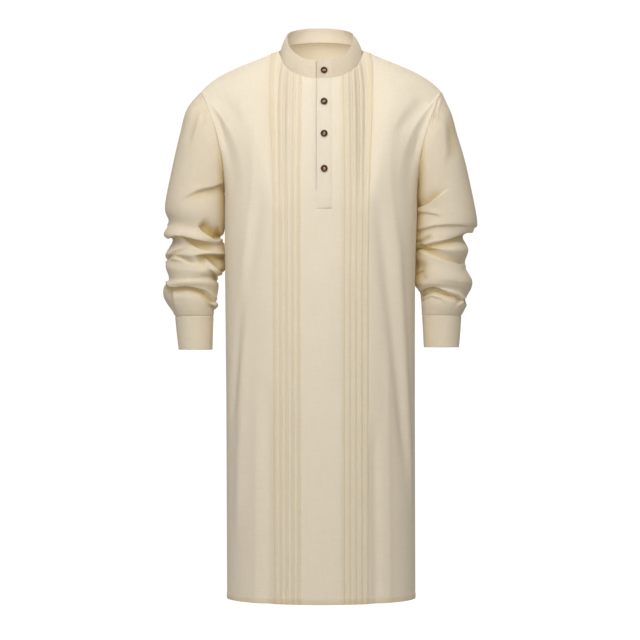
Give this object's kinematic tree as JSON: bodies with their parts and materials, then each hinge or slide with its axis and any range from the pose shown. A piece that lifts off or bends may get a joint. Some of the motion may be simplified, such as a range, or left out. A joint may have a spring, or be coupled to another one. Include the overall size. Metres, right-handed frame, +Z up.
{
  "type": "thobe robe",
  "caption": "Long cream thobe robe with a band collar, buttoned half placket, pleated front tucks, long cuffed sleeves and an open straight hem.",
  "frame": {"origin": "between the wearer's shoulders, on the robe's middle plane, 66 mm above the shoulder seams' ends", "axes": "+Z up along the robe's length, front faces -Y, +X to the wearer's left"},
  "size_m": [0.6472, 0.2779, 1.174],
  "materials": {
    "body_linen": "matte plain weave",
    "sleeve_linen": "matte plain weave",
    "collar_linen": "matte plain weave",
    "tortoise": "semi gloss"
  },
  "bodies": {
    "root": {"front": "body_linen", "back": "body_linen", "placket_over": "body_linen", "placket_under": "body_linen", "collar_stand": "collar_linen", "sleeve_right": "sleeve_linen", "sleeve_left": "sleeve_linen", "cuff_right": "sleeve_linen", "cuff_left": "sleeve_linen", "button_1": "tortoise", "button_2": "tortoise", "button_3": "tortoise", "button_4": "tortoise", "cuff_button_right": "tortoise", "cuff_button_left": "tortoise"}
  },
  "joints": []
}
